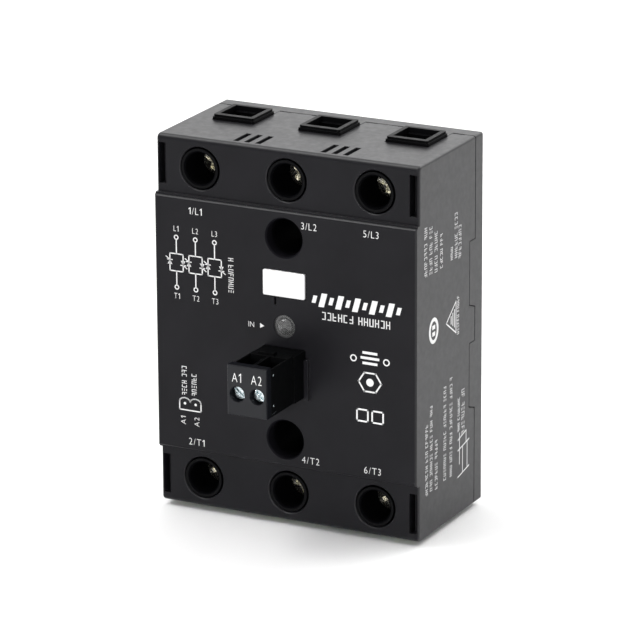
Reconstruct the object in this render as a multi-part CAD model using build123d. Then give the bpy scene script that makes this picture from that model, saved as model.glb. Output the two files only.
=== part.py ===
"""Three-pole solid state relay for panel mounting, in millimetres.

The origin is the centre of the back face, which sits on the heat sink or panel. +Y points into the
panel, so the front faces -Y. +Z is up, towards the line terminals, and +X is right seen from the front.
"""

from build123d import *
import os

# ---- driving dimensions ----
WIDTH, HEIGHT = 67.5, 90.0
POLE_PITCH = 22.5
BAND_Y = -34.0  # face of the two terminal bands
PANEL_Y = -35.5  # face of the raised centre panel
PANEL_HALF_Z = 31.2
SEAM_Y = -4.0  # joint between housing and base frame
SEAM_GAP = 0.3
WALL, FRONT_WALL = 1.8, 1.8
INNER_Y = BAND_Y + FRONT_WALL  # inside of the front wall
CORNER_R, FRONT_R = 0.6, 1.2

MOUNT_PITCH = 48.8  # spacing of the two mounting screws
MOUNT_HOLE_R, WELL_R, LINER_WALL = 2.65, 4.6, 1.0
PLATE_T, PLATE_MARGIN = 3.2, 2.55

SCREW_Z = 37.8  # height of the line terminal screws above the centre
RING_HOLE_R, SLEEVE_R, SLEEVE_BORE_R = 5.1, 4.75, 3.8
HEAD_R, HEAD_FRONT_Y, HEAD_BACK_Y, DOME_R = 3.4, -26.5, -23.95, 8.5
SHANK_R, SHANK_TIP_Y = 2.5, -15.4
CLAMP_RUN = 0.05  # running clearance of a screw in its cage
BAR_T = 1.5  # busbar thickness
BLADE_Y = (-15.3, -13.8)
FOOT_Y = (-5.6, -4.1)

PLUG_PITCH, PLUG_SCREW_Z = 5.08, -8.0
PLUG_FACE_Y, PLUG_COVER_BACK_Y, PLUG_BACK_Y = -54.2, -52.0, -41.0
PLUG_HALF_X, PLUG_TOP_Z, PLUG_BOTTOM_Z = 5.08, -1.1, -13.1
PLUG_HEAD_SUNK = 1.6  # how far the screw heads sit behind the face of the plug

LENS_Z, LENS_HOLE_R, LENS_R = 3.15, 2.75, 2.25
TAG_Z, TAG_HALF_X, TAG_HALF_Z = 13.4, 5.4, 3.075

BOARD_Y = (-25.6, -24.0)
PLATE_FRONT_Y = -PLATE_T
CERAMIC_Y = (PLATE_FRONT_Y - 0.6, PLATE_FRONT_Y)
COPPER_Y = (CERAMIC_Y[0] - 0.3, CERAMIC_Y[0])
DIE_Y = (COPPER_Y[0] - 0.4, COPPER_Y[0])

HALF_W, HALF_H = WIDTH / 2, HEIGHT / 2
MOUNT_Z = (MOUNT_PITCH / 2, -MOUNT_PITCH / 2)
POLES = (-POLE_PITCH, 0.0, POLE_PITCH)
# name, pole centre, side: +1 is the line side at the top, -1 the load side at the bottom
TERMINALS = (
    ("1_l1", POLES[0], 1),
    ("3_l2", POLES[1], 1),
    ("5_l3", POLES[2], 1),
    ("2_t1", POLES[0], -1),
    ("4_t2", POLES[1], -1),
    ("6_t3", POLES[2], -1),
)


def block(x, y, z):
    """Box between two values on each axis."""
    size = [abs(pair[1] - pair[0]) for pair in (x, y, z)]
    centre = [(pair[0] + pair[1]) / 2 for pair in (x, y, z)]
    return Pos(*centre) * Box(*size)


def around(centre, half):
    """The two limits of a span with a centre and a half width."""
    return (centre - half, centre + half)


def rod(x, z, y, radius):
    """Cylinder along Y."""
    return Pos(x, (y[0] + y[1]) / 2, z) * Rot(90, 0, 0) * Cylinder(radius, abs(y[1] - y[0]))


def mouth(x, z, face_y, radius, bevel):
    """Cutter that bevels the mouth of a round hole in a front face."""
    return Pos(x, face_y + bevel / 2, z) * Rot(90, 0, 0) * Cone(radius, radius + bevel, bevel)


def plate_outline(points, y):
    """Flat plate from an outline of (x, z) points, between two values of y."""
    wire = Polyline(*[(px, y[0], pz) for px, pz in points], close=True)
    return extrude(make_face(wire), amount=abs(y[1] - y[0]), dir=(0, 1, 0))


def side_profile(points, x):
    """Bar from an outline of (y, z) points, between two values of x."""
    wire = Polyline(*[(x[0], py, pz) for py, pz in points], close=True)
    return extrude(make_face(wire), amount=abs(x[1] - x[0]), dir=(1, 0, 0))


def to_side(shape, side):
    """Turn a shape made for the top over to the bottom."""
    return shape if side > 0 else mirror(shape, Plane.XY)


def parallel(shape, axis):
    return shape.edges().filter_by(axis)


# ---- housing ----
SLOT_X, SLOT_Z, SLOT_DEPTH = (31.3, 33.2), (33.2, 43.0), 12.5
VENT_X, VENT_PITCH, VENT_W, VENT_Y = 11.25, 2.85, 1.4, (-32.0, -25.1)
TAB_Y, TAB_SLOPE = -7.0, 1.0
SIDE_TABS = ((5.0, 20.3), (-19.9, -4.5))
COLLAR_HALF_X, COLLAR_Y, COLLAR_TOP_Z = 5.45, (-17.6, -6.8), 46.25
RELIEF_HALF_X, RELIEF_DEPTH = 8.6, 0.5
HEADER_X, HEADER_Z = 5.3, (-13.2, -2.0)
FIT_GAP, TAB_GAP = 0.1, 0.22


def outer_shell():
    shell = block(around(0, HALF_W), (BAND_Y, SEAM_Y - SEAM_GAP), around(0, HALF_H))
    front = shell.edges().filter_by(Axis.X).group_by(Axis.Y)[0]
    shell = fillet(front, FRONT_R)
    rim = [e for e in shell.edges() if abs(abs(e.center().X) - HALF_W) < 1e-3]
    rim = [e for e in rim if e.center().Y < SEAM_Y - 1]
    shell = fillet(rim, CORNER_R)
    lower = block(around(0, HALF_W), (BAND_Y - 0.8, BAND_Y + 3), around(0, PANEL_HALF_Z))
    raised = block(around(0, HALF_W), (PANEL_Y, BAND_Y + 3), around(0, PANEL_HALF_Z - 0.45))
    long_edges = parallel(raised, Axis.X).group_by(Axis.Y)[0]
    raised = chamfer(long_edges, 0.3)
    panel = lower + raised
    sides = [e for e in parallel(panel, Axis.Z) if e.center().Y < BAND_Y - 0.5 and e.length > 5]
    panel = chamfer(sides, 0.35)
    return shell + panel


def vents():
    slots = []
    for side in (1, -1):
        for group in (-VENT_X, VENT_X):
            for step in (-1, 0, 1):
                x = group + step * VENT_PITCH
                slots.append(block(around(x, VENT_W / 2), VENT_Y, (side * 40, side * 50)))
    return slots


def tab_outline(z, gap):
    """Outline in y and z of a side tab, square at the top and sloped below."""
    low, high = z[0] - gap, z[1] + gap
    return [
        (SEAM_Y + 0.01, low - TAB_SLOPE),
        (TAB_Y - gap, low),
        (TAB_Y - gap, high),
        (SEAM_Y + 0.01, high),
    ]


def make_housing():
    body = outer_shell()
    inside = (around(0, HALF_W - WALL), (INNER_Y, 0), around(0, HALF_H - WALL))
    body -= block(*inside)
    for sx in (1, -1):
        for sz in (1, -1):
            pocket_z = (sz * (SLOT_Z[0] - 1.3), sz * (HALF_H - 1))
            body += block(
                (sx * (SLOT_X[0] - 1.2), sx * (HALF_W - 0.3)),
                (BAND_Y + 1, BAND_Y + SLOT_DEPTH + 1.2),
                pocket_z,
            )
    for sx in (1, -1):
        for sz in (1, -1):
            slot = [(sx * v) for v in SLOT_X], [(sz * v) for v in SLOT_Z]
            body -= block(slot[0], (BAND_Y - 1, BAND_Y + SLOT_DEPTH), slot[1])
            rib_x = around(sx * sum(SLOT_X) / 2, 0.12)
            body += block(rib_x, (BAND_Y + 1.4, BAND_Y + SLOT_DEPTH + 0.5), slot[1])
    for z in MOUNT_Z:
        body -= rod(0, z, (PANEL_Y - 1, INNER_Y + 1), WELL_R)
        body -= mouth(0, z, PANEL_Y, WELL_R, 0.4)
    for x in (-27.0, 27.0):
        for z in (-27.0, 27.0):
            body += rod(x, z, (BAND_Y + 1, BOARD_Y[0]), 1.6)
    for _, x, side in TERMINALS:
        body -= rod(x, side * SCREW_Z, (BAND_Y - 1, INNER_Y + 1), RING_HOLE_R)
        body -= mouth(x, side * SCREW_Z, BAND_Y, RING_HOLE_R, 0.3)
        notch_y = (COLLAR_Y[0] - FIT_GAP, 0)
        notch_z = (side * (HALF_H - WALL - 0.1), side * (HALF_H + 1))
        body -= block(around(x, COLLAR_HALF_X + FIT_GAP), notch_y, notch_z)
        relief_z = (side * (HALF_H - 1.0), side * (HALF_H + 1))
        body -= block(around(x, RELIEF_HALF_X), (SEAM_Y - RELIEF_DEPTH, 0), relief_z)
    body += block(around(0, 6.5), (PANEL_Y - 1, PANEL_Y + 1), (-13.7, -3.9))
    header_gap = (HEADER_Z[0] - FIT_GAP, HEADER_Z[1] + FIT_GAP)
    body -= block(around(0, HEADER_X + FIT_GAP), (PANEL_Y - 2, INNER_Y + 1), header_gap)
    body -= rod(0, LENS_Z, (PANEL_Y - 1, INNER_Y + 1), LENS_HOLE_R)
    tag_z = around(TAG_Z, TAG_HALF_Z + 0.15)
    body -= block(around(0, TAG_HALF_X + 0.15), (PANEL_Y - 1, PANEL_Y + 0.6), tag_z)
    for x in (-3.6, 3.6):
        body -= block(around(x, 0.6), (PANEL_Y, INNER_Y + 1), around(TAG_Z, 1.2))
    body -= block(around(-2.3, 0.3), (PANEL_Y - 1, PANEL_Y + 0.8), (8.2, tag_z[0] + 0.1))
    for z in SIDE_TABS:
        for x in ((-HALF_W - 1, -HALF_W + WALL + 0.1), (HALF_W - WALL - 0.1, HALF_W + 1)):
            body -= side_profile(tab_outline(z, TAB_GAP), x)
    for slot in vents():
        body -= slot
    return body


def make_well_liners():
    """Tubes that close the two mounting wells off from the inside, from the front wall to the plate."""
    depth = (INNER_Y, PLATE_FRONT_Y)
    return [rod(0, z, depth, WELL_R + LINER_WALL) - rod(0, z, depth, WELL_R) for z in MOUNT_Z]


# ---- base ----
def make_base_frame():
    inner_x, inner_z = HALF_W - PLATE_MARGIN, HALF_H - PLATE_MARGIN
    frame = block(around(0, HALF_W), (SEAM_Y, -0.2), around(0, HALF_H))
    frame = fillet(parallel(frame, Axis.Y), CORNER_R)
    frame -= block(around(0, inner_x), (PLATE_FRONT_Y, 1), around(0, inner_z))
    frame -= block(around(0, inner_x - 0.9), (SEAM_Y - 1, 0), around(0, inner_z - 0.9))
    for z in SIDE_TABS:
        for x in ((-HALF_W, -HALF_W + WALL), (HALF_W - WALL, HALF_W)):
            frame += side_profile(tab_outline(z, 0), x)
    for _, x, side in TERMINALS:
        tab_z = (side * (HALF_H - WALL + 0.05), side * HALF_H)
        frame += block(around(x, COLLAR_HALF_X - 0.05), (COLLAR_Y[1] + 0.1, SEAM_Y + 0.5), tab_z)
    return frame


def make_base_plate():
    x, z = HALF_W - PLATE_MARGIN - 0.05, HALF_H - PLATE_MARGIN - 0.05
    plate = block(around(0, x), (PLATE_FRONT_Y, 0), around(0, z))
    plate = fillet(parallel(plate, Axis.Y), 0.8)
    plate = chamfer(plate.faces().sort_by(Axis.Y)[-1].edges(), 0.3)
    for hole_z in MOUNT_Z:
        plate -= rod(0, hole_z, (-PLATE_T - 1, 1), MOUNT_HOLE_R)
    return plate


# ---- power terminals ----
CHAMBER_X, CHAMBER_Y, CHAMBER_Z = 4.9, (-22.6, -7.7), (32.0, 42.3)
CAGE_X, CAGE_BORE_X, CAGE_Z = 4.7, 3.6, (33.55, 42.05)
CAGE_FRONT_Y, CAGE_BACK_Y = (-17.6, -15.4), (-9.0, -7.8)
THROAT_Z = 45.0


def make_terminal_block(x, side):
    """Insulator of one pole: screw sleeve, clamp chamber and wire collar."""
    body = block(around(x, CHAMBER_X + 1.3), (-23.9, CHAMBER_Y[1] + 1.1), (CHAMBER_Z[0], 43.1))
    body += rod(x, SCREW_Z, (BAND_Y, CHAMBER_Y[0] - 1), SLEEVE_R)
    lower = block(around(x, COLLAR_HALF_X), COLLAR_Y, (42, COLLAR_TOP_Z - 0.6))
    upper_y = (COLLAR_Y[0] + 0.25, COLLAR_Y[1] - 0.25)
    upper = block(around(x, COLLAR_HALF_X - 0.25), upper_y, (42, COLLAR_TOP_Z))
    upper = fillet(parallel(upper, Axis.Z), 0.5)
    lower = fillet(parallel(lower, Axis.Z), 0.5)
    body += lower + upper
    body -= rod(x, SCREW_Z, (BAND_Y - 1, -23.9), SLEEVE_BORE_R)
    body -= mouth(x, SCREW_Z, BAND_Y, SLEEVE_BORE_R, 0.4)
    body -= rod(x, SCREW_Z, (-24, CHAMBER_Y[0] + 1), SHANK_R + 0.2)
    body -= block(around(x, CHAMBER_X), CHAMBER_Y, (CHAMBER_Z[0] - 1, CHAMBER_Z[1]))
    body -= block(around(x, 4.1), (-16.0, -9.0), (CHAMBER_Z[1] - 1, COLLAR_TOP_Z + 1))
    body -= block(around(x, 4.1), (-16.0, -8.0), (THROAT_Z, COLLAR_TOP_Z + 1))
    return to_side(body, side)


def make_cage(x, side):
    """Box clamp that rises on the screw and grips the wire against the busbar."""
    cage = block(around(x, CAGE_X), (CAGE_FRONT_Y[0], CAGE_BACK_Y[1]), CAGE_Z)
    cage = fillet(parallel(cage, Axis.Z), 0.6)
    cage -= block(around(x, CAGE_BORE_X), (CAGE_FRONT_Y[1], CAGE_BACK_Y[0]), (30, 50))
    cage -= rod(x, SCREW_Z, (CAGE_FRONT_Y[0] - 1, CAGE_FRONT_Y[1] + 1), SHANK_R + CLAMP_RUN)
    for step in range(-2, 3):
        groove_z = around(SCREW_Z + step * 1.5, 0.25)
        cage -= block(around(x, CAGE_BORE_X), (CAGE_BACK_Y[0] - 1, CAGE_BACK_Y[0] + 0.3), groove_z)
    return to_side(cage, side)


def make_terminal_screw(x, side, turn):
    """Screw with a domed head, a cross and a slot in it, turned to its own angle."""
    screw = rod(x, SCREW_Z, (HEAD_FRONT_Y, HEAD_BACK_Y), HEAD_R)
    screw &= Pos(x, HEAD_FRONT_Y + DOME_R, SCREW_Z) * Sphere(DOME_R)
    screw = fillet(screw.edges().group_by(Axis.Y)[0], 0.4)
    screw += rod(x, SCREW_Z, (HEAD_BACK_Y, SHANK_TIP_Y), SHANK_R)
    screw = chamfer(screw.edges().group_by(Axis.Y)[-1], 0.6)
    cutter = block(around(0, 5), (HEAD_FRONT_Y - 1, HEAD_FRONT_Y + 1.0), around(0, 0.55))
    cross = block(around(0, 2.3), (HEAD_FRONT_Y - 1, HEAD_FRONT_Y + 1.7), around(0, 0.6))
    cutter += cross + Rot(0, 90, 0) * cross
    screw -= Pos(x, 0, SCREW_Z) * Rot(0, turn, 0) * cutter
    return to_side(screw, side)


def make_busbar(x, side):
    """Blade in the cage, a riser, and a foot soldered to the power section."""
    half, riser_z, foot_end, foot_z = 3.0, 30.3, 10.5, 14.0
    blade_top = 42.0
    bar = block(around(x, half), BLADE_Y, (riser_z, blade_top))
    bar += block(around(x, half), (BLADE_Y[0], FOOT_Y[1]), (riser_z, riser_z + BAR_T))
    if x:
        bar += block(around(x, half), FOOT_Y, (foot_end, riser_z + BAR_T))
        return to_side(bar, side)
    # The centre bar steps round the mounting well.
    near, far, shoulder = 6.3, 10.3, 33.8
    outline = [
        (-half, riser_z),
        (near, riser_z),
        (near, foot_z),
        (half, foot_z),
        (half, foot_end),
        (far, foot_end),
        (far, shoulder),
        (-half, shoulder),
    ]
    return to_side(bar + plate_outline(outline, FOOT_Y), side)


# ---- power section ----
PAD_X, PAD_Z = 7.2, (1.0, 14.0)
DIE_X, DIE_Z, DIE_HALF = 3.6, 5.5, 3.2
CLIP_X, CLIP_HALF = 3.9, 1.3
GATE_X, GATE_R = 6.0, 0.35


def make_ceramic_substrates():
    return [block(around(x, PAD_X + 0.5), CERAMIC_Y, around(0, 15.0)) for x in POLES]


def make_copper_pads():
    pads = []
    for x in POLES:
        for side in (1, -1):
            pads.append(block(around(x, PAD_X), COPPER_Y, (side * PAD_Z[0], side * PAD_Z[1])))
    return pads


def make_thyristor_dies():
    dies = []
    for x in POLES:
        for side in (1, -1):
            dies.append(block(around(x - side * DIE_X, DIE_HALF), DIE_Y, around(side * DIE_Z, DIE_HALF)))
    return dies


def make_die_clips():
    """Each clip runs from the top of one die to the pad of the other."""
    top = DIE_Y[0]
    outline = [(top - 0.4, 8.5), (top, 8.5), (top, -7.0), (COPPER_Y[0], -7.0)]
    outline += [(COPPER_Y[0], -8.5), (top - 0.4, -8.5)]
    clips = []
    for x in POLES:
        for side in (1, -1):
            points = [(y, side * z) for y, z in outline]
            clips.append(side_profile(points, around(x - side * CLIP_X, CLIP_HALF)))
    return clips


def make_gate_pins():
    pins = []
    for x in POLES:
        for side in (1, -1):
            pins.append(rod(x - side * GATE_X, side * DIE_Z, (BOARD_Y[0] - 0.6, DIE_Y[0]), GATE_R))
    return pins


# ---- control board ----
PIN_HALF = 0.5


def make_control_board():
    board = block(around(0, 30.2), BOARD_Y, around(0, 30.0))
    for z in MOUNT_Z:
        board -= rod(0, z, (-30, -20), WELL_R + LINER_WALL + 0.5)
    for pin in make_gate_pins():
        board -= pin
    for x in around(0, PLUG_PITCH / 2):
        board -= block(around(x, PIN_HALF), (-30, -20), around(PLUG_SCREW_Z, PIN_HALF))
    return board


def chip(x, y, z, half_x, half_z, pins):
    """Moulded package with a row of flat leads along both sides."""
    body = block(around(x, half_x), y, around(z, half_z))
    body = chamfer(parallel(body, Axis.Z), 0.4)
    pitch = 2 * half_z / pins
    for step in range(pins):
        lead_z = around(z - half_z + (step + 0.5) * pitch, 0.25)
        body += block(around(x, half_x + 0.6), around(sum(y) / 2, 0.15), lead_z)
        for side in (1, -1):
            lead_x = (x + side * (half_x + 0.3), x + side * (half_x + 0.6))
            ends = (sum(y) / 2, BOARD_Y[1] if y[1] > BOARD_Y[1] else BOARD_Y[0])
            body += block(lead_x, ends, lead_z)
    return body


def make_optocouplers():
    return [chip(x, (BOARD_Y[1] + 0.4, BOARD_Y[1] + 3.9), 0, 3.2, 4.0, 3) for x in POLES]


def make_input_regulator():
    return chip(15.0, (BOARD_Y[0] - 1.7, BOARD_Y[0] - 0.15), -8.0, 2.0, 2.5, 4)


def make_snubber_capacitors():
    boxes = []
    for x in POLES:
        box = block(around(x, 6.4), (BOARD_Y[1], BOARD_Y[1] + 10.5), around(13.2, 2.9))
        boxes.append(fillet(parallel(box, Axis.Y), 0.5))
    return boxes


def make_snubber_resistors():
    out = []
    z, y = -10.6, BOARD_Y[1] + 2.9
    for x in POLES:
        body = Pos(x, y, z) * Rot(0, 90, 0) * Cylinder(1.8, 8.4)
        body = fillet(body.edges(), 0.5)
        body += Pos(x, y, z) * Rot(0, 90, 0) * Cylinder(0.35, 12.4)
        for side in (1, -1):
            body += rod(x + side * 6.2, z, (BOARD_Y[1], y + 0.35), 0.35)
        out.append(body)
    return out


def make_varistors():
    out = []
    for x in POLES:
        z, y = -16.4, BOARD_Y[1] + 6.0
        disc = Pos(x, y, z) * Cylinder(5.0, 2.6)
        disc = fillet(disc.edges(), 0.6)
        for side in (1, -1):
            disc += rod(x + side * 2.5, z, (BOARD_Y[1], y), 0.35)
        out.append(disc)
    return out


def make_status_led():
    led = rod(0, LENS_Z, (-26.6, BOARD_Y[0]), 1.8) + rod(0, LENS_Z, (-30.0, -26.0), 1.5)
    return led + Pos(0, -30.0, LENS_Z) * Sphere(1.5)


def make_status_lens():
    """Clear dome in a round hole of the panel, on a collar pressed in from behind."""
    centre_y = PANEL_Y - 1.0 + LENS_R
    cap = Pos(0, centre_y, LENS_Z) * Sphere(LENS_R)
    cap &= block(around(0, 5), (PANEL_Y - 2, PANEL_Y + 1), around(LENS_Z, 5))
    return cap + rod(0, LENS_Z, (PANEL_Y + 0.5, INNER_Y), LENS_HOLE_R)


def make_marker_tag():
    tag = block(around(0, TAG_HALF_X), (PANEL_Y - 0.3, PANEL_Y + 0.6), around(TAG_Z, TAG_HALF_Z))
    tag = fillet(parallel(tag, Axis.Y), 0.4)
    tag = chamfer(tag.faces().sort_by(Axis.Y)[0].edges(), 0.15)
    for x in (-3.6, 3.6):
        tag += block(around(x, 0.5), (PANEL_Y + 0.5, INNER_Y + 0.6), around(TAG_Z, 1.0))
    return tag


# ---- control input connector ----
SOCKET_X, SOCKET_Z, SOCKET_FLOOR_Y = 4.5, (-12.4, -2.9), -31.0
NOSE_GAP, NOSE_END_Y = 0.15, -34.5
PLUG_CHAMBER_X, PLUG_CHAMBER_Y, PLUG_CHAMBER_BOTTOM = 2.1, (-51.2, -43.4), -10.9
PLUG_CAGE_X, PLUG_CAGE_BORE_X, PLUG_CAGE_HALF_Z = 2.0, 1.45, 2.3
PLUG_CAGE_FRONT_Y, PLUG_CAGE_BACK_Y = (-48.7, -47.3), (-44.2, -43.5)
PLUG_BAR_Y, PLUG_BAR_X = (-47.2, -46.4), 1.3
PLUG_HEAD_R, PLUG_HOLE_R, PLUG_SHANK_R = 1.75, 1.9, 1.25
PLUG_BODY_TOP_Z = PLUG_TOP_Z - 0.6


def make_input_header():
    header = block(around(0, HEADER_X), (PLUG_BACK_Y + 0.05, BOARD_Y[0]), HEADER_Z)
    header -= block(around(0, SOCKET_X), (PLUG_BACK_Y - 1, SOCKET_FLOOR_Y), SOCKET_Z)
    for x in around(0, PLUG_PITCH / 2):
        header -= block(around(x, PIN_HALF), (-45, -20), around(PLUG_SCREW_Z, PIN_HALF))
    return header


def make_header_pins():
    pins = []
    for x in around(0, PLUG_PITCH / 2):
        pin = block(around(x, PIN_HALF), (-39.5, BOARD_Y[1] + 0.7), around(PLUG_SCREW_Z, PIN_HALF))
        pins.append(chamfer(pin.faces().sort_by(Axis.Y)[0].edges(), 0.25))
    return pins


def make_plug_body():
    body = block(around(0, PLUG_HALF_X), (PLUG_COVER_BACK_Y, PLUG_BACK_Y), (PLUG_BOTTOM_Z, PLUG_BODY_TOP_Z))
    body += block((-3.0, 1.0), (PLUG_BACK_Y - 1.9, PLUG_BACK_Y - 0.2), (PLUG_BODY_TOP_Z - 1, PLUG_TOP_Z))
    nose_z = (SOCKET_Z[0] + NOSE_GAP, SOCKET_Z[1] - NOSE_GAP)
    body += block(around(0, SOCKET_X - NOSE_GAP), (PLUG_BACK_Y - 1, NOSE_END_Y), nose_z)
    for side in (1, -1):
        side_x = (side * (PLUG_HALF_X - 0.2), side * (PLUG_HALF_X + 0.12))
        for z in (-3.4, -10.7):
            peg = Pos(side * PLUG_HALF_X, -51.0, z) * Rot(0, 90, 0) * Cylinder(0.42, 0.24)
            body += peg
        body += block(side_x, (-51.4, -49.4), around(-12.75, 0.12))
    for x in around(0, PLUG_PITCH / 2):
        chamber_z = (PLUG_CHAMBER_BOTTOM, PLUG_TOP_Z + 1)
        body -= block(around(x, PLUG_CHAMBER_X), PLUG_CHAMBER_Y, chamber_z)
        body -= rod(x, PLUG_SCREW_Z, (PLUG_COVER_BACK_Y - 1, PLUG_CHAMBER_Y[0] + 1), PLUG_SHANK_R + 0.15)
        body -= block(around(x, 1.05), (PLUG_CHAMBER_Y[1] - 1, PLUG_BACK_Y), (PLUG_CHAMBER_BOTTOM, -10.3))
        body -= block(around(x, 1.15), (-41.6, NOSE_END_Y + 1), (PLUG_CHAMBER_BOTTOM, -6.6))
    return body


def make_plug_cover():
    cover = block(around(0, PLUG_HALF_X), (PLUG_FACE_Y, PLUG_COVER_BACK_Y), (PLUG_BOTTOM_Z, PLUG_TOP_Z))
    cover = chamfer(cover.faces().sort_by(Axis.Y)[0].edges(), 0.2)
    for x in around(0, PLUG_PITCH / 2):
        cover -= rod(x, PLUG_SCREW_Z, (PLUG_FACE_Y - 1, PLUG_COVER_BACK_Y + 1), PLUG_HOLE_R)
    return cover


def make_plug_screw(x, turn):
    front, back = PLUG_FACE_Y + PLUG_HEAD_SUNK, PLUG_COVER_BACK_Y - 0.05
    screw = rod(x, PLUG_SCREW_Z, (front, back), PLUG_HEAD_R)
    screw = fillet(screw.edges().group_by(Axis.Y)[0], 0.2)
    screw += rod(x, PLUG_SCREW_Z, (back, PLUG_CAGE_FRONT_Y[1]), PLUG_SHANK_R)
    slot = block(around(0, 3), (front - 1, front + 0.35), around(0, 0.3))
    return screw - Pos(x, 0, PLUG_SCREW_Z) * Rot(0, turn, 0) * slot


def make_plug_cage(x):
    z = around(PLUG_SCREW_Z, PLUG_CAGE_HALF_Z)
    cage = block(around(x, PLUG_CAGE_X), (PLUG_CAGE_FRONT_Y[0], PLUG_CAGE_BACK_Y[1]), z)
    cage -= block(around(x, PLUG_CAGE_BORE_X), (PLUG_CAGE_FRONT_Y[1], PLUG_CAGE_BACK_Y[0]), (-20, 0))
    return cage - rod(x, PLUG_SCREW_Z, (-50, PLUG_CAGE_FRONT_Y[1] + 0.5), PLUG_SHANK_R + CLAMP_RUN)


def make_plug_contacts():
    """Clamp bar, link and a pair of spring leaves that grip the header pin."""
    contacts = []
    for x in around(0, PLUG_PITCH / 2):
        contact = block(around(x, PLUG_BAR_X), PLUG_BAR_Y, (-10.85, -4.4))
        contact += block(around(x, 1.0), (PLUG_BAR_Y[0], -41.1), (-10.85, -10.35))
        contact += block(around(x, 1.0), (-41.5, -41.1), (-10.85, -7.0))
        for z in ((-7.45, -7.0), (-9.0, -8.55)):
            contact += block(around(x, 0.9), (-41.3, -36.0), z)
        contacts.append(contact)
    return contacts


def save(name, shape):
    """Write one node as STEP. A list is a node of several separate solids."""
    solids = shape if isinstance(shape, list) else [shape]
    solids = [solid for item in solids for solid in item.solids()]
    export_step(Compound(label=name, children=solids), f"parts/{name}.step")


def main():
    os.makedirs("parts", exist_ok=True)
    save("housing", make_housing())
    save("well_liners", make_well_liners())
    save("base_frame", make_base_frame())
    save("base_plate", make_base_plate())
    head_turns = (20, 38, 12, 28, 8, 33)
    for (name, x, side), turn in zip(TERMINALS, head_turns):
        save(f"block_{name}", make_terminal_block(x, side))
        save(f"screw_{name}", make_terminal_screw(x, side, turn))
        save(f"cage_{name}", make_cage(x, side))
        save(f"busbar_{name}", make_busbar(x, side))
    save("ceramic_substrates", make_ceramic_substrates())
    save("copper_pads", make_copper_pads())
    save("thyristor_dies", make_thyristor_dies())
    save("die_clips", make_die_clips())
    save("gate_pins", make_gate_pins())
    save("control_board", make_control_board())
    save("optocouplers", make_optocouplers())
    save("input_regulator", make_input_regulator())
    save("snubber_capacitors", make_snubber_capacitors())
    save("snubber_resistors", make_snubber_resistors())
    save("varistors", make_varistors())
    save("status_led", make_status_led())
    save("status_lens", make_status_lens())
    save("marker_tag", make_marker_tag())
    save("input_header", make_input_header())
    save("header_pins", make_header_pins())
    save("plug_body", make_plug_body())
    save("plug_cover", make_plug_cover())
    save("plug_contacts", make_plug_contacts())
    for name, x, turn in (("a1", -PLUG_PITCH / 2, 40), ("a2", PLUG_PITCH / 2, 50)):
        save(f"plug_screw_{name}", make_plug_screw(x, turn))
        save(f"plug_cage_{name}", make_plug_cage(x))


main()
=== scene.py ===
"""Looks for the solid state relay: materials, printed marks, fine details, light and camera."""

import math
import random

import bmesh
import bpy
from mathutils import Matrix, Vector


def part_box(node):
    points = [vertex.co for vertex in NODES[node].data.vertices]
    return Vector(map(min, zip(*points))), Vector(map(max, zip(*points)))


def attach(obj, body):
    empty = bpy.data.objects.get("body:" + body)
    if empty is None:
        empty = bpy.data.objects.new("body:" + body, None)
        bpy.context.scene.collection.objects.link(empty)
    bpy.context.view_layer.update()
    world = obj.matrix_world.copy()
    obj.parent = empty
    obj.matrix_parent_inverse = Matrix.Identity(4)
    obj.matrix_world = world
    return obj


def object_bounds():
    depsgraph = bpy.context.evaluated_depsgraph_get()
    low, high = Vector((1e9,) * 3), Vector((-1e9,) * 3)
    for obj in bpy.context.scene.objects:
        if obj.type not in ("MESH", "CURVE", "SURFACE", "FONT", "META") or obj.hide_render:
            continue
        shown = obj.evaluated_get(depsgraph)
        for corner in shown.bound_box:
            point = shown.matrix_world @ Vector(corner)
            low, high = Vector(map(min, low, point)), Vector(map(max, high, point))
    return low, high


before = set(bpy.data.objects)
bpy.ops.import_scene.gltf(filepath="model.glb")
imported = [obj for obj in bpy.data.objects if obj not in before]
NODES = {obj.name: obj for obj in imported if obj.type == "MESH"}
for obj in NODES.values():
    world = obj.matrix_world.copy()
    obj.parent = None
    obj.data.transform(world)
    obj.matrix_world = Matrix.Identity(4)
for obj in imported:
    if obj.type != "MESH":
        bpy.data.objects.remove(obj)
CAD_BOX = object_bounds()
MM = 0.001


def mm(value):
    return value * MM


def span(node):
    """Lowest and highest corner of a CAD node, in millimetres."""
    low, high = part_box(node)
    return Vector(low) / MM, Vector(high) / MM


# ---- places taken from the frame, in millimetres ----
HALF_W = span("base_frame")[1].x
TAG_PROUD = 0.3  # how far the marker tag stands in front of the panel
PANEL_Y = span("marker_tag")[0].y + TAG_PROUD  # face of the raised centre panel
BAND_Y = span("block_1_l1")[0].y  # face of the two terminal bands
COVER_LOW, COVER_HIGH = span("plug_cover")
TERMINALS = ("1_l1", "3_l2", "5_l3", "2_t1", "4_t2", "6_t3")
POLE_PITCH = (span("screw_5_l3")[0].x - span("screw_1_l1")[0].x) / 2
SCREW_Z = (span("screw_1_l1")[0].z + span("screw_1_l1")[1].z) / 2
WELL_Z = span("well_liners")[1].z - (span("well_liners")[1].x - span("well_liners")[0].x) / 2
INK_LIFT, INK_SUNK = 0.012, -0.01  # front of the printed ink, and its back, just inside the plastic


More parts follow.
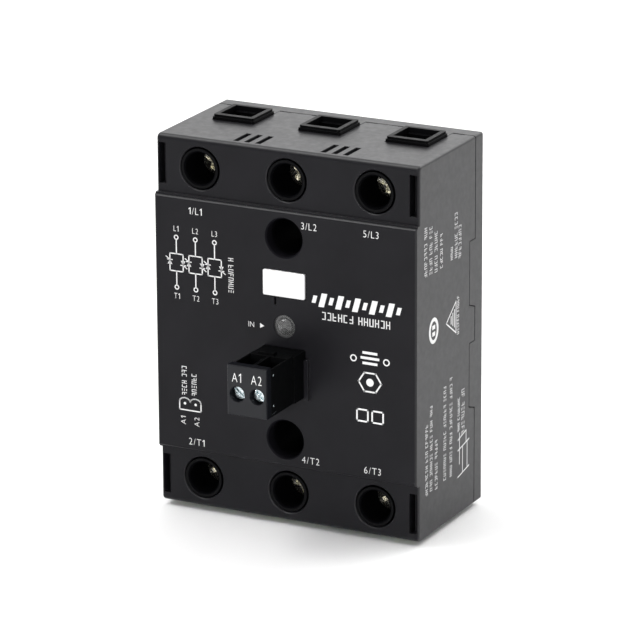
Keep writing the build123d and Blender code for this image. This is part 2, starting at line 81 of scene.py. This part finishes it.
# ---- materials ----
class Maker:
    """Small helper to build a node material from a Principled shader."""

    def __init__(self, name):
        self.material = bpy.data.materials.new(name)
        self.material.use_nodes = True
        self.tree = self.material.node_tree
        self.shader = self.tree.nodes["Principled BSDF"]
        self.place = self.tree.nodes.new("ShaderNodeTexCoord").outputs["Object"]

    def node(self, kind, **settings):
        made = self.tree.nodes.new(kind)
        for key, value in settings.items():
            if key in made.inputs:
                made.inputs[key].default_value = value
            else:
                setattr(made, key, value)
        return made

    def link(self, start, end):
        self.tree.links.new(start, end)

    def noise(self, scale, detail=3.0, rough=0.55, stretch=None):
        """Noise with a feature size of about 1/scale metres, stretched along the axes if asked."""
        noise = self.node("ShaderNodeTexNoise", Scale=scale, Detail=detail, Roughness=rough)
        start = self.place
        if stretch:
            mapping = self.node("ShaderNodeMapping")
            mapping.inputs["Scale"].default_value = stretch
            self.link(start, mapping.inputs["Vector"])
            start = mapping.outputs["Vector"]
        self.link(start, noise.inputs["Vector"])
        return noise.outputs["Fac"]

    def ramp(self, value, low, high, start=0.3, end=0.7):
        ramp = self.node("ShaderNodeMapRange")
        ramp.inputs["From Min"].default_value = start
        ramp.inputs["From Max"].default_value = end
        ramp.inputs["To Min"].default_value = low
        ramp.inputs["To Max"].default_value = high
        self.link(value, ramp.inputs["Value"])
        return ramp.outputs["Result"]

    def times(self, first, second):
        product = self.node("ShaderNodeMath", operation="MULTIPLY")
        self.link(first, product.inputs[0])
        self.link(second, product.inputs[1])
        return product.outputs["Value"]

    def outside_shaded_bores(self, pitch, height, radius):
        """0 inside bores along Y, in a row above the middle and a row below it, and 1 elsewhere; the mask for
        the painted shade in bores.
        """
        split = self.node("ShaderNodeSeparateXYZ")
        self.link(self.place, split.inputs["Vector"])
        across = self.node("ShaderNodeMath", operation="WRAP")
        self.link(split.outputs["X"], across.inputs[0])
        across.inputs[1].default_value, across.inputs[2].default_value = mm(pitch / 2), mm(-pitch / 2)
        level = self.node("ShaderNodeMath", operation="ABSOLUTE")
        self.link(split.outputs["Z"], level.inputs[0])
        offset = self.node("ShaderNodeCombineXYZ")
        self.link(across.outputs["Value"], offset.inputs["X"])
        self.link(level.outputs["Value"], offset.inputs["Z"])
        reach = self.node("ShaderNodeVectorMath", operation="DISTANCE")
        self.link(offset.outputs["Vector"], reach.inputs[0])
        reach.inputs[1].default_value = (0, 0, mm(height))
        return self.ramp(reach.outputs["Value"], 0, 1, mm(radius), mm(radius + 0.1))

    def mix(self, factor, first, second):
        mix = self.node("ShaderNodeMix", data_type="RGBA")
        mix.inputs["A"].default_value = (*first, 1)
        mix.inputs["B"].default_value = (*second, 1)
        self.link(factor, mix.inputs["Factor"])
        return mix.outputs["Result"]

    def colour(self, factor, first, second):
        self.link(self.mix(factor, first, second), self.shader.inputs["Base Color"])

    def roughness(self, value, low, high):
        self.link(self.ramp(value, low, high), self.shader.inputs["Roughness"])

    def bump(self, heights, edge=0.0):
        """Chain of (height, strength, distance) bumps, on rounded edges if an edge radius is given."""
        normal = None
        if edge:
            normal = self.node("ShaderNodeBevel", Radius=edge).outputs["Normal"]
        for height, strength, distance in heights:
            bump = self.node("ShaderNodeBump", Strength=strength, Distance=distance)
            self.link(height, bump.inputs["Height"])
            if normal:
                self.link(normal, bump.inputs["Normal"])
            normal = bump.outputs["Normal"]
        self.link(normal, self.shader.inputs["Normal"])

    def set(self, **values):
        for key, value in values.items():
            self.shader.inputs[key.replace("_", " ")].default_value = value


def plastic(name, dark, light, rough=(0.38, 0.46), gloss=0.5, front_painted_gloss=None, bores=None, edge=0.12):
    """Moulded plastic with a fine grain and faint flow marks; if asked, a specular level of its own on faces
    turned to the front and none in bores, as painted shade and sheen for how light falls on the faces and
    into the bores.
    """
    m = Maker(name)
    depth = 0.000004
    fine, flow = m.noise(6000, 4), m.noise(90, 3)
    m.colour(m.ramp(flow, 0, 1), dark, light)
    m.roughness(m.noise(700, 5), *rough)
    m.bump([(fine, 0.4, depth), (flow, 0.15, depth * 6)], edge=mm(edge))
    m.set(Specular_IOR_Level=front_painted_gloss or gloss)
    level = None
    # Painted shade and sheen by face direction: faces turned to the front get a specular level set apart from
    # that of the other faces.
    if front_painted_gloss is not None:
        split = m.node("ShaderNodeSeparateXYZ")
        m.link(m.node("ShaderNodeTexCoord").outputs["Normal"], split.inputs["Vector"])
        level = m.ramp(split.outputs["Y"], front_painted_gloss, gloss, -0.95, -0.6)
    # Painted shade: the specular level drops to nothing inside the bores.
    if bores:
        outside = m.outside_shaded_bores(*bores)
        level = m.times(outside, level) if level else m.ramp(outside, 0, gloss, 0, 1)
    if level:
        m.link(level, m.shader.inputs["Specular IOR Level"])
    return m.material


def metal(name, low, high, rough=(0.2, 0.35), stretch=None, scale=2500, depth=0.000006, dents=0.0):
    """Plated or bare metal with fine scratches and uneven tarnishing; if asked, small dents that glint,
    coloured darker in their hollows and lighter on their high spots as painted shade and highlight, in place
    of the tarnishing.
    """
    m = Maker(name)
    lines = m.noise(scale, 5, 0.7, stretch)
    stain = m.noise(350, 4)
    tarnish_and_dent_shade = m.ramp(stain, 0, 1)
    heights = [(lines, 0.4, depth), (stain, 0.15, depth * 4)]
    if dents:
        # Painted shade and highlight: with dents, the colour follows the dent heights, darker in the hollows
        # and lighter on the high spots.
        hollows = m.noise(2000, 3)
        tarnish_and_dent_shade = m.ramp(hollows, 0, 1, 0.4, 0.6)
        heights.append((hollows, 0.9, dents))
    m.colour(tarnish_and_dent_shade, low, high)
    m.roughness(lines, *rough)
    m.bump(heights, edge=0.0001)
    m.set(Metallic=1.0)
    return m.material


def glaze(name, low, high, rough, coat=0.0):
    """Lacquered, printed or ceramic surface."""
    m = Maker(name)
    spots = m.noise(1200, 4)
    m.colour(m.ramp(spots, 0, 1), low, high)
    m.roughness(m.noise(2600, 4), rough - 0.05, rough + 0.05)
    m.bump([(spots, 0.15, 0.00001)], edge=0.00005)
    m.set(Coat_Weight=coat)
    return m.material


def clear(name, colour, rough):
    """Tinted clear plastic with a slightly uneven surface."""
    m = Maker(name)
    m.colour(m.ramp(m.noise(500, 3), 0, 1), colour, [c * 0.85 for c in colour])
    m.roughness(m.noise(2200, 4), rough, rough + 0.08)
    m.bump([(m.noise(900, 2), 0.1, 0.000004)])
    m.set(Transmission_Weight=0.75, IOR=1.49)
    return m.material


SHADED_MOUNTING_BORES = (2 * HALF_W, WELL_Z, 4.9)  # painted shade in these bores, where the specular level drops to nothing: pitch, height above the middle, radius
SHADED_DRIVER_BORES = (POLE_PITCH, SCREW_Z, 4.1)
# Housing: painted shade on the front, whose specular level is kept below that of the other faces, and in the
# mounting bores, where it drops to nothing.
BLACK = plastic(
    "housing_plastic", (0.0062, 0.006, 0.0075), (0.0085, 0.0082, 0.0102),
    gloss=0.43, front_painted_gloss=0.14, bores=SHADED_MOUNTING_BORES, edge=0.25,
)
# Near-black, all but glossless plastic for the terminal blocks and well liners: painted shade in the wells,
# with the specular level dropped to nothing in the driver bores.
WELL_SHADE_BLACK = ((0.0018, 0.0018, 0.0022), (0.0025, 0.0025, 0.003))
BLOCK = plastic("block_plastic", *WELL_SHADE_BLACK, gloss=0.06, bores=SHADED_DRIVER_BORES)
LINER = plastic("liner_painted_shade", *WELL_SHADE_BLACK, gloss=0.01)
# Plug cover: painted sheen on the front face, whose specular level is set far above that of the other faces,
# so the sides read as shaded.
COVER = plastic(
    "cover_plastic", (0.0055, 0.006, 0.008), (0.0075, 0.008, 0.0105),
    gloss=0.04, front_painted_gloss=0.3, edge=0.3,
)
CONNECTOR = plastic("connector_plastic", (0.0015, 0.0016, 0.0018), (0.002, 0.0022, 0.0025), gloss=0.06)
TAG = plastic("tag_plastic", (0.78, 0.78, 0.78), (0.82, 0.82, 0.82))
CHIP = plastic("chip_plastic", (0.02, 0.02, 0.022), (0.028, 0.028, 0.03), (0.5, 0.65))
# The screw metals: their darker colour sits in the dents' hollows and the lighter on the high spots, painted
# shade and highlight.
NICKEL = metal("nickel_screw", (0.58, 0.55, 0.42), (0.98, 0.96, 0.88), (0.2, 0.32), dents=0.00017)
BRIGHT = metal("bright_screw", (0.25, 0.32, 0.33), (0.8, 0.87, 0.9), (0.16, 0.28), dents=0.00006)
ZINC = metal("zinc_clamp", (0.5, 0.5, 0.5), (0.66, 0.66, 0.64), (0.3, 0.45))
PLATE = metal(
    "plate_metal", (0.3, 0.3, 0.305), (0.38, 0.38, 0.385), (0.25, 0.45),
    stretch=(1, 1, 0.03), scale=4000, depth=0.00002,
)
TIN = metal("tinned_copper", (0.62, 0.58, 0.5), (0.7, 0.68, 0.64), (0.28, 0.42))
COPPER = metal("bare_copper", (0.6, 0.27, 0.15), (0.72, 0.38, 0.24), (0.3, 0.45))
CERAMIC = glaze("ceramic", (0.8, 0.8, 0.76), (0.86, 0.86, 0.83), 0.45)
SILICON = glaze("silicon", (0.05, 0.05, 0.06), (0.09, 0.09, 0.11), 0.2)
CAPACITOR = glaze("capacitor_case", (0.45, 0.36, 0.05), (0.5, 0.41, 0.08), 0.3, 0.3)
RESISTOR = glaze("resistor_case", (0.2, 0.3, 0.26), (0.26, 0.36, 0.31), 0.4, 0.2)
VARISTOR = glaze("varistor_coat", (0.03, 0.1, 0.3), (0.05, 0.14, 0.36), 0.25, 0.5)
INK = glaze("white_ink", (0.7, 0.7, 0.7), (0.8, 0.8, 0.8), 0.55)
LENS = clear("lens_clear", (0.33, 0.33, 0.33), 0.1)
LED = clear("led_epoxy", (0.4, 0.62, 0.36), 0.1)


def board_material():
    """Green solder mask over faint copper tracks."""
    m = Maker("board_green")
    tracks = m.node("ShaderNodeTexBrick", Scale=220.0)
    m.link(m.place, tracks.inputs["Vector"])
    m.colour(tracks.outputs["Fac"], (0.012, 0.075, 0.03), (0.02, 0.12, 0.05))
    m.roughness(m.noise(1500, 3), 0.25, 0.35)
    m.bump([(tracks.outputs["Fac"], 0.3, 0.00003)])
    return m.material


BOARD = board_material()


def paint(node, material):
    """Give a CAD node its material."""
    thing = NODES[node]
    thing.data.materials.clear()
    thing.data.materials.append(material)


def paint_all():
    plain = {
        BLACK: ("housing", "base_frame"),
        COVER: ("plug_cover",),
        CONNECTOR: ("input_header", "plug_body"),
        PLATE: ("base_plate",),
        TIN: ("plug_contacts", "header_pins", "die_clips", "gate_pins"),
        CERAMIC: ("ceramic_substrates",),
        COPPER: ("copper_pads",),
        SILICON: ("thyristor_dies",),
        BOARD: ("control_board",),
        CHIP: ("optocouplers", "input_regulator"),
        CAPACITOR: ("snubber_capacitors",),
        RESISTOR: ("snubber_resistors",),
        VARISTOR: ("varistors",),
        LED: ("status_led",),
        LENS: ("status_lens",),
        TAG: ("marker_tag",),
    }
    for material, names in plain.items():
        for name in names:
            paint(name, material)
    paint("well_liners", LINER)
    for name in TERMINALS:
        paint(f"block_{name}", BLOCK)
        paint(f"screw_{name}", NICKEL)
        paint(f"cage_{name}", ZINC)
        paint(f"busbar_{name}", TIN)
    for name in ("a1", "a2"):
        paint(f"plug_screw_{name}", BRIGHT)
        paint(f"plug_cage_{name}", ZINC)


# ---- printed marks ----
class Print:
    """Ink shapes drawn in the plane of a face, joined into one thin piece.

    The face has an origin and two directions, across and up. Shapes are given in millimetres.
    """

    def __init__(self, name, origin, across, up, body="base"):
        self.name, self.body = name, body
        self.mesh = bmesh.new()
        across, up = Vector(across), Vector(up)
        out = across.cross(up)
        self.frame = Matrix((
            (across.x, up.x, out.x, origin[0]),
            (across.y, up.y, out.y, origin[1]),
            (across.z, up.z, out.z, origin[2]),
            (0, 0, 0, 1),
        ))

    def add(self, piece, at=(0, 0), turn=0.0):
        """Take in a flat bmesh, turned and moved, with a little thickness."""
        place = Matrix.Translation((at[0], at[1], 0)) @ Matrix.Rotation(math.radians(turn), 4, "Z")
        piece.transform(self.frame @ place)
        carrier = bpy.data.meshes.new("carrier")
        piece.to_mesh(carrier)
        piece.free()
        self.mesh.from_mesh(carrier)
        bpy.data.meshes.remove(carrier)

    def shape(self, outline, at=(0, 0), turn=0.0):
        """Filled outline of (across, up) points."""
        piece = bmesh.new()
        low = [piece.verts.new((x, y, INK_SUNK)) for x, y in outline]
        high = [piece.verts.new((x, y, INK_LIFT)) for x, y in outline]
        piece.faces.new(high)
        piece.faces.new(list(reversed(low)))
        for i in range(len(outline)):
            j = (i + 1) % len(outline)
            piece.faces.new((low[i], low[j], high[j], high[i]))
        self.add(piece, at, turn)

    def bar(self, x, y, width, height, turn=0.0):
        """Filled box centred on a point."""
        w, h = width / 2, height / 2
        self.shape([(-w, -h), (w, -h), (w, h), (-w, h)], (x, y), turn)

    def line(self, start, end, width=0.28):
        dx, dy = end[0] - start[0], end[1] - start[1]
        length = math.hypot(dx, dy)
        middle = ((start[0] + end[0]) / 2, (start[1] + end[1]) / 2)
        self.bar(*middle, length + width, width, math.degrees(math.atan2(dy, dx)))

    def path(self, points, width=0.28, close=False):
        ends = points[1:] + ([points[0]] if close else [])
        for start, end in zip(points, ends):
            self.line(start, end, width)

    def ring(self, x, y, radius, width, stretch=1.0, steps=32):
        """Round or oval ring."""
        piece = bmesh.new()
        loops = []
        inner = radius - width
        for r, z in ((radius, INK_LIFT), (inner, INK_LIFT), (inner, INK_SUNK), (radius, INK_SUNK)):
            loop = []
            for i in range(steps):
                a = 2 * math.pi * i / steps
                tall = r + radius * (stretch - 1)
                loop.append(piece.verts.new((r * math.cos(a), tall * math.sin(a), z)))
            loops.append(loop)
        for k in range(4):
            near, far = loops[k], loops[(k + 1) % 4]
            for i in range(steps):
                j = (i + 1) % steps
                piece.faces.new((near[i], near[j], far[j], far[i]))
        self.add(piece, (x, y))

    def text(self, words, x, y, cap, turn=0.0, thin=1.0):
        """Plain lettering with its capitals that tall, centred on a point, narrowed if asked."""
        line, pen = bmesh.new(), 0.0
        for char in words:
            glyph = figure_one() if char == "1" else font_glyph(char)
            edges = [v.co.x for v in glyph.vertices]
            glyph.transform(Matrix.Translation((pen - min(edges), 0, 0)))
            pen += max(edges) - min(edges) + LETTER_GAP
            line.from_mesh(glyph)
            bpy.data.meshes.remove(glyph)
        half = (pen - LETTER_GAP) / 2
        line.transform(Matrix.Diagonal((cap * thin, cap, 1, 1)) @ Matrix.Translation((-half, -0.5, 0)))
        self.add(line, (x, y), turn)

    def small_print(self, x, y, length, cap, turn=0.0, seed=1, stroke=0.17):
        """A line of print that can't be read: words of upright and level strokes, no letters."""
        draw = random.Random(seed)
        a = math.radians(turn)
        along, above = (math.cos(a), math.sin(a)), (-math.sin(a), math.cos(a))
        at, left = -length / 2, 0
        while at < length / 2 - cap * 0.5:
            if not left:
                left = draw.randint(3, 8)
            places = draw.sample((("up", 0), ("up", 1), ("level", 0), ("level", 1), ("level", 2)), 3)
            for kind, k in places:
                u = at + (k * 0.42 if kind == "up" else 0.21) * cap
                v = 0 if kind == "up" else (k - 1) * (cap - stroke) / 2
                size = (stroke, cap) if kind == "up" else (0.42 * cap, stroke)
                self.bar(x + u * along[0] + v * above[0], y + u * along[1] + v * above[1], *size, turn)
            left -= 1
            at += cap * (0.74 if left else 1.25)

    def finish(self):
        """Make the piece, painted in ink and riding on its body."""
        mesh = bpy.data.meshes.new(self.name)
        self.mesh.normal_update()
        self.mesh.to_mesh(mesh)
        self.mesh.free()
        mesh.transform(Matrix.Scale(MM, 4))
        mesh.materials.append(INK)
        piece = bpy.data.objects.new(self.name, mesh)
        bpy.context.scene.collection.objects.link(piece)
        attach(piece, self.body)
        return piece


CAP_SHARE = 0.69  # height of a capital in the built-in font, for size 1
LETTER_GAP = 0.24  # space between letters, for capitals of height 1


def font_glyph(char):
    """One letter of the built-in font as a mesh, its capitals of height 1."""
    curve = bpy.data.curves.new("letter", "FONT")
    curve.body = char
    curve.extrude = INK_LIFT
    curve.offset = -0.01
    thing = bpy.data.objects.new("letter", curve)
    bpy.context.scene.collection.objects.link(thing)
    bpy.context.view_layer.update()
    mesh = bpy.data.meshes.new_from_object(thing.evaluated_get(bpy.context.evaluated_depsgraph_get()))
    bpy.data.objects.remove(thing)
    bpy.data.curves.remove(curve)
    mesh.transform(Matrix.Diagonal((1 / CAP_SHARE, 1 / CAP_SHARE, 1, 1)))
    return mesh


def figure_one():
    """A figure one with a flag, which the built-in font lacks."""
    outline = [(0.3, 0), (0.44, 0), (0.44, 1), (0.33, 1), (0.06, 0.8), (0.06, 0.66), (0.3, 0.82)]
    count = len(outline)
    points = [(x, y, z) for z in (-INK_LIFT, INK_LIFT) for x, y in outline]
    faces = [tuple(range(count, 2 * count)), tuple(reversed(range(count)))]
    for i in range(count):
        j = (i + 1) % count
        faces.append((i, j, j + count, i + count))
    mesh = bpy.data.meshes.new("one")
    mesh.from_pydata(points, [], faces)
    return mesh


def thyristor_pair(ink, x, top, bottom, box_top, box_bottom, half):
    """One pole of the circuit: two thyristors side by side, head to tail."""
    node_r = 0.62
    ink.ring(x, top, node_r, 0.26, steps=20)
    ink.ring(x, bottom, node_r, 0.26, steps=20)
    ink.line((x, top - node_r), (x, box_top))
    ink.line((x, bottom + node_r), (x, box_bottom))
    corners = [(x - half, box_top), (x + half, box_top), (x + half, box_bottom), (x - half, box_bottom)]
    ink.path(corners, close=True)
    middle = (box_top + box_bottom) / 2
    for side in (-1, 1):
        cx, tip = x + side * half, -side * 0.55
        ink.shape([(cx - 0.62, middle - tip), (cx + 0.62, middle - tip), (cx, middle + tip)][:: -side])
        ink.line((cx - 0.62, middle + tip), (cx + 0.62, middle + tip), 0.24)
        ink.line((cx, middle + tip), (cx + side * 1.0, middle + tip * 2.2), 0.22)


def front_print():
    ink = Print("front_print", (0, PANEL_Y, 0), (1, 0, 0), (0, 0, 1))
    labels = (("1/L1", -23.0, 27.9), ("3/L2", 6.5, 28.0), ("5/L3", 22.3, 28.2))
    labels += (("2/T1", -23.4, -28.6), ("4/T2", 6.6, -28.6), ("6/T3", 22.6, -28.6))
    for words, x, z in labels:
        ink.text(words, x, z, 1.65, thin=0.88)
    for n, x in enumerate((-28.1, -23.07, -18.04)):
        thyristor_pair(ink, x, 21.0, 8.9, 17.0, 12.8, 1.75)
        ink.text(f"L{n + 1}", x, 23.1, 1.35, thin=0.8)
        ink.text(f"T{n + 1}", x, 6.8, 1.35, thin=0.8)
    ink.small_print(-13.8, 13.8, 8.6, 1.35, 90, 5)
    ink.text("IN", -8.6, 2.6, 1.3, thin=0.9)
    ink.shape([(-6.3, 2.0), (-5.2, 2.6), (-6.3, 3.2)])
    emblem(ink, 18.6, 10.9)
    ink.small_print(18.7, 7.2, 17.8, 1.9, 0, 9, 0.25)
    plain_marks(ink, 22.0)
    connector_icon(ink, -25.0, -19.3)
    return ink.finish()


def emblem(ink, x, z):
    """A plain ornament: a row of leaning bars of two sizes."""
    count, pitch, lean, tall = 11, 2.15, 0.9, 3.3
    for i in range(count):
        wide, high = (0.72, tall / 2) if i % 2 else (0.5, tall / 2 - 0.75)
        shift = lean * high / tall
        outline = [(-wide - shift, -high), (wide - shift, -high), (wide + shift, high), (-wide + shift, high)]
        ink.shape(outline, (x + (i - (count - 1) / 2) * pitch, z))


def plain_marks(ink, x):
    """Three plain geometric signs, one above the other."""
    for k in (-1, 0, 1):
        ink.bar(x, -1.4 + k * 1.25, 4.8 - abs(k), 0.62)
    for side in (-1, 1):
        ink.ring(x + side * 4.2, -1.8, 0.85, 0.3)
    corners = [math.radians(60 * i) for i in range(6)]
    ink.path([(x + 2.9 * math.cos(a), -7.2 + 2.6 * math.sin(a)) for a in corners], 0.38, close=True)
    ink.ring(x, -7.2, 0.95, 0.95)
    half, z = 1.4, -15.4
    for side in (-1, 1):
        left, right = x + side * 1.95 - half, x + side * 1.95 + half
        square = [(left, z - half), (right, z - half), (right, z + half), (left, z + half)]
        ink.path(square, 0.4, close=True)


def connector_icon(ink, x, z):
    """Outline of the two-way control plug: a flat foot and one rounded lobe for each pole."""
    reach, foot, steps = 1.42, z - 1.7, 6
    outline = [(x - 2 * reach, foot), (x + 2 * reach, foot)]
    for side in (1, -1):
        for i in range(steps + 1):
            a = math.pi * i / steps
            outline.append((x + side * reach + reach * math.cos(a), z + 0.35 + 0.95 * math.sin(a)))
    ink.path(outline, 0.3, close=True)
    for side in (-1, 1):
        ink.ring(x + side * reach, z - 0.1, 0.34, 0.34, steps=12)
    ink.text("A1", x - 1.9, z - 4.3, 1.3, 90)
    ink.text("A2", x + 1.7, z - 4.3, 1.3, 90)
    ink.small_print(x - 1.5, z + 5.7, 7.4, 1.3, 90, 3)
    ink.small_print(x + 1.1, z + 4.9, 5.6, 1.3, 90, 11)


# rows of small print on the side: distance behind the band, top and bottom, height of the print
SIDE_ROWS = (
    (3.4, 31.3, 18.2, 1.4),
    (6.1, 30.0, 18.2, 1.4),
    (8.8, 29.2, 18.1, 1.4),
    (11.7, 27.0, 18.3, 1.3),
    (17.2, 22.3, 18.7, 1.1),
    (19.5, 30.1, 18.6, 1.4),
    (21.6, 27.4, 17.9, 1.4),
    (4.1, -17.2, -34.8, 1.3),
    (6.5, -13.0, -34.2, 1.3),
    (9.2, -22.4, -34.6, 1.3),
    (13.8, -10.4, -33.9, 1.3),
    (17.1, -9.6, -34.0, 1.3),
    (21.3, -15.6, -24.4, 1.1),
    (23.6, -13.4, -25.6, 1.6),
)


def side_print():
    """Small print on the right-hand side, turned to read upwards."""
    ink = Print("side_print", (HALF_W, BAND_Y, 0), (0, 1, 0), (0, 0, 1))
    for n, (y, top, bottom, cap) in enumerate(SIDE_ROWS):
        ink.small_print(y, (top + bottom) / 2, top - bottom, cap, 90, 20 + n, 0.15)
    ink.ring(7.7, 4.3, 2.5, 0.9, 1.25)
    for k in (-1, 1):
        ink.bar(7.7, 4.3 + k * 0.8, 1.5, 1.0)
    ink.path([(19.6, 0.4), (19.6, 8.0), (14.4, 4.0)], 0.32, close=True)
    for k in (0, 1, 2):
        ink.bar(17.0 + 0.9 * k, 4.1, 0.35, 2.0 + 1.2 * k)
    ink.small_print(20.7, 4.6, 9.6, 1.1, 90, 41, 0.15)
    strip_drawing(ink, 24.4, -30.1)
    return ink.finish()


def strip_drawing(ink, y, z):
    """Line drawing of a stripped conductor between two measuring lines."""
    for dz in (-5.0, 1.6, 4.2):
        ink.line((y - 3.4, z + dz - 0.5), (y + 2.6 - (dz > 3) * 1.6, z + dz + 0.7), 0.3)
    for dy, low, high in ((-2.6, -2.4, 5.2), (-0.9, -5.0, 1.6), (1.6, -4.2, 2.2)):
        ink.line((y + dy, z + low), (y + dy, z + high), 0.26)
    ink.line((y + 1.0, z + 2.2), (y + 1.0, z + 4.6), 0.26)


def plug_print():
    ink = Print("plug_print", (0, COVER_LOW.y, 0), (1, 0, 0), (0, 0, 1), "plug")
    for words, x in (("A1", -2.54), ("A2", 2.54)):
        ink.text(words, x - 0.1, -4.0, 2.2, thin=0.7)
    return ink.finish()


# ---- painted highlights on the control plug ----
PEG_Y, PEG_Z, PEG_R = -51.0, (-3.25, -10.55), 0.3
RIDGE_Z, RIDGE_LONG = -12.35, 1.9


def plug_painted_highlights():
    """Painted highlights on both sides of the control plug: bright metal dots on the ends of the latch pegs,
    and a bright bar along a ridge, where these edges catch the light.
    """
    pieces = bmesh.new()
    for side in (-1, 1):
        x = side * (COVER_HIGH.x + 0.12)
        for z in PEG_Z:
            place = Matrix.Translation((x, PEG_Y, z)) @ Matrix.Diagonal((0.35, 1, 1, 1))
            bmesh.ops.create_uvsphere(pieces, u_segments=16, v_segments=10, radius=PEG_R, matrix=place)
        # Painted highlight: a bright metal bar standing for the light caught along the ridge.
        place = Matrix.Translation((x, PEG_Y + 0.5, RIDGE_Z)) @ Matrix.Diagonal((0.08, RIDGE_LONG, 0.2, 1))
        bmesh.ops.create_cube(pieces, size=1, matrix=place)
    mesh = bpy.data.meshes.new("plug_painted_highlights")
    pieces.to_mesh(mesh)
    pieces.free()
    mesh.transform(Matrix.Scale(MM, 4))
    mesh.materials.append(BRIGHT)
    thing = bpy.data.objects.new("plug_painted_highlights", mesh)
    bpy.context.scene.collection.objects.link(thing)
    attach(thing, "plug")


# ---- stage, light and camera ----
CAMERA_TARGET = (7.75, BAND_Y, 5.95)
CAMERA_AZIMUTH, CAMERA_ELEVATION, CAMERA_ROLL = 27.08, 17.67, -0.32
CAMERA_DISTANCE, CAMERA_LENS = 1038.3, 254.17
CAMERA_SHIFT = (0.0044, -0.0033)


def make_camera():
    a, e = math.radians(CAMERA_AZIMUTH), math.radians(CAMERA_ELEVATION)
    back = Vector((math.sin(a) * math.cos(e), -math.cos(a) * math.cos(e), math.sin(e)))
    right = Vector((math.cos(a), math.sin(a), 0))
    up = back.cross(right)
    turn = Matrix.Rotation(math.radians(CAMERA_ROLL), 3, back)
    right, up = turn @ right, turn @ up
    data = bpy.data.cameras.new("camera")
    data.lens = CAMERA_LENS
    data.shift_x, data.shift_y = CAMERA_SHIFT
    data.clip_start, data.clip_end = 0.05, 50
    camera = bpy.data.objects.new("camera", data)
    place = (Vector(CAMERA_TARGET) + back * CAMERA_DISTANCE) * MM
    camera.matrix_world = Matrix((
        (right.x, up.x, back.x, place.x),
        (right.y, up.y, back.y, place.y),
        (right.z, up.z, back.z, place.z),
        (0, 0, 0, 1),
    ))
    bpy.context.scene.collection.objects.link(camera)
    bpy.context.scene.camera = camera


def area_light(name, place, target, size, power, spread=180):
    data = bpy.data.lights.new(name, "AREA")
    data.shape = "RECTANGLE"
    data.size, data.size_y = size
    data.energy = power
    data.spread = math.radians(spread)
    light = bpy.data.objects.new(name, data)
    light.location = place
    light.rotation_euler = (Vector(target) - Vector(place)).to_track_quat("-Z", "Y").to_euler()
    bpy.context.scene.collection.objects.link(light)


WORLD_FRONT, WORLD_BACK = 0.55, 1.15  # brightness on the camera's side and behind the object


def make_world():
    """Bright white behind the object, dimmer on the camera's side, as in a studio with a white backdrop."""
    world = bpy.data.worlds.new("studio")
    bpy.context.scene.world = world
    world.use_nodes = True
    tree = world.node_tree
    place = tree.nodes.new("ShaderNodeTexCoord")
    split = tree.nodes.new("ShaderNodeSeparateXYZ")
    ramp = tree.nodes.new("ShaderNodeMapRange")
    ramp.inputs["From Min"].default_value = -0.6
    ramp.inputs["From Max"].default_value = 0.5
    ramp.inputs["To Min"].default_value = WORLD_FRONT
    ramp.inputs["To Max"].default_value = WORLD_BACK
    tree.nodes["Background"].inputs["Color"].default_value = (1, 1, 1, 1)
    tree.links.new(place.outputs["Generated"], split.inputs["Vector"])
    tree.links.new(split.outputs["Y"], ramp.inputs["Value"])
    tree.links.new(ramp.outputs["Result"], tree.nodes["Background"].inputs["Strength"])


def make_floor():
    size = 4.0
    mesh = bpy.data.meshes.new("floor")
    z = CAD_BOX[0][2]
    corners = [(-size, -size, z), (size, -size, z), (size, size, z), (-size, size, z)]
    mesh.from_pydata(corners, [], [(0, 1, 2, 3)])
    m = Maker("floor")
    m.colour(m.ramp(m.noise(3, 2), 0, 1), (0.9, 0.9, 0.9), (0.92, 0.92, 0.92))
    m.set(Roughness=0.7)
    mesh.materials.append(m.material)
    floor = bpy.data.objects.new("floor", mesh)
    bpy.context.scene.collection.objects.link(floor)


def make_stage():
    make_camera()
    make_world()
    make_floor()
    aim = (0, -0.02, 0)
    area_light("overhead_light", (-0.42, -0.28, 1.0), aim, (0.6, 0.6), 7)
    area_light("back_right_light", (0.3, 0.6, 0.7), (0.1, 0.12, -0.05), (0.6, 0.5), 4)
    area_light("back_left_light", (-0.2, 1.1, 0.55), aim, (1.0, 0.5), 2)
    area_light("front_light", (0.17, -1.0, 0.2), aim, (0.1, 0.08), 0.08, 25)
    bpy.context.scene.view_settings.view_transform = "Standard"


paint_all()
front_print()
side_print()
plug_print()
plug_painted_highlights()
make_stage()
